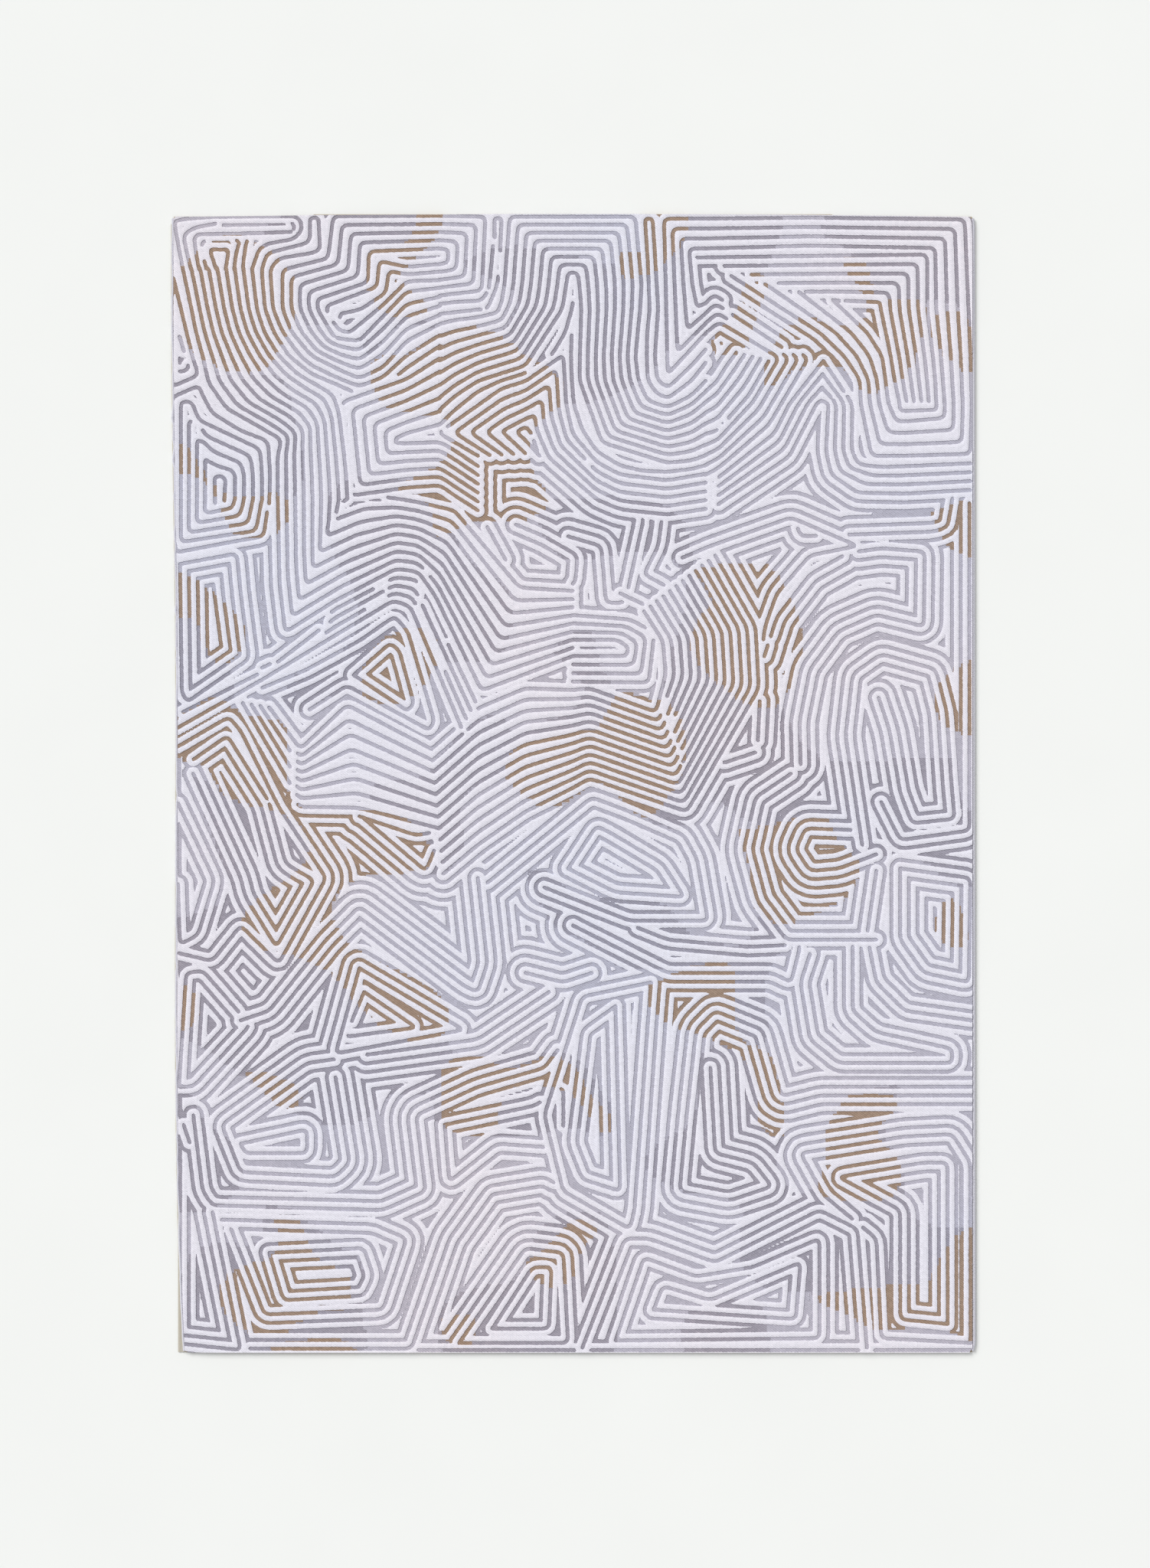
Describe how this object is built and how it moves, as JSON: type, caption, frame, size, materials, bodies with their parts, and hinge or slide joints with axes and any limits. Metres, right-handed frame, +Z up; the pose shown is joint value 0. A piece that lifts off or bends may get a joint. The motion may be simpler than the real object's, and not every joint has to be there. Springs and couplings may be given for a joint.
{
  "type": "area rug",
  "caption": "Rectangular high-low pile rug with a labyrinth of raised ivory ridges over lilac-grey, slate and camel grooves, hemmed ends and overcast sides.",
  "frame": {"origin": "middle of the underside, on the floor", "axes": "+X across the rug towards the straight overcast side, +Y along the rug towards its bowed head end, +Z up through the pile"},
  "size_m": [1.7001, 2.4, 0.011],
  "materials": {
    "ivory_pile": "raised cut-pile ridges, soft matt heat-set yarn",
    "silver_pile": "low loop pile, light lilac-grey marled yarn",
    "slate_pile": "low loop pile, slate-grey marled yarn",
    "camel_pile": "low loop pile, camel marled yarn",
    "ground_weft": "woven ground, natural jute and cotton yarn",
    "stuffer_yarn": "straight stuffer warps, natural cotton-polyester yarn",
    "latex_size": "thin brushed latex size over the back of the weave",
    "hem_tape": "plain-woven cotton tape",
    "hem_thread": "twisted polyester sewing thread",
    "overcast_yarn": "close-wound ivory serging yarn",
    "selvedge_cord": "twisted cotton cord"
  },
  "bodies": {
    "root": {"ivory_ridge_pile": "ivory_pile", "silver_groove_pile": "silver_pile", "slate_groove_pile": "slate_pile", "camel_groove_pile": "camel_pile", "upper_weft": "ground_weft", "lower_weft": "ground_weft", "stuffer_warp": "stuffer_yarn", "latex_size": "latex_size", "hem_tape_north": "hem_tape", "hem_tape_south": "hem_tape", "hem_stitch_north": "hem_thread", "hem_stitch_south": "hem_thread", "overcast_west": "overcast_yarn", "overcast_east": "overcast_yarn", "selvedge_cord_west": "selvedge_cord", "selvedge_cord_east": "selvedge_cord"}
  },
  "joints": []
}
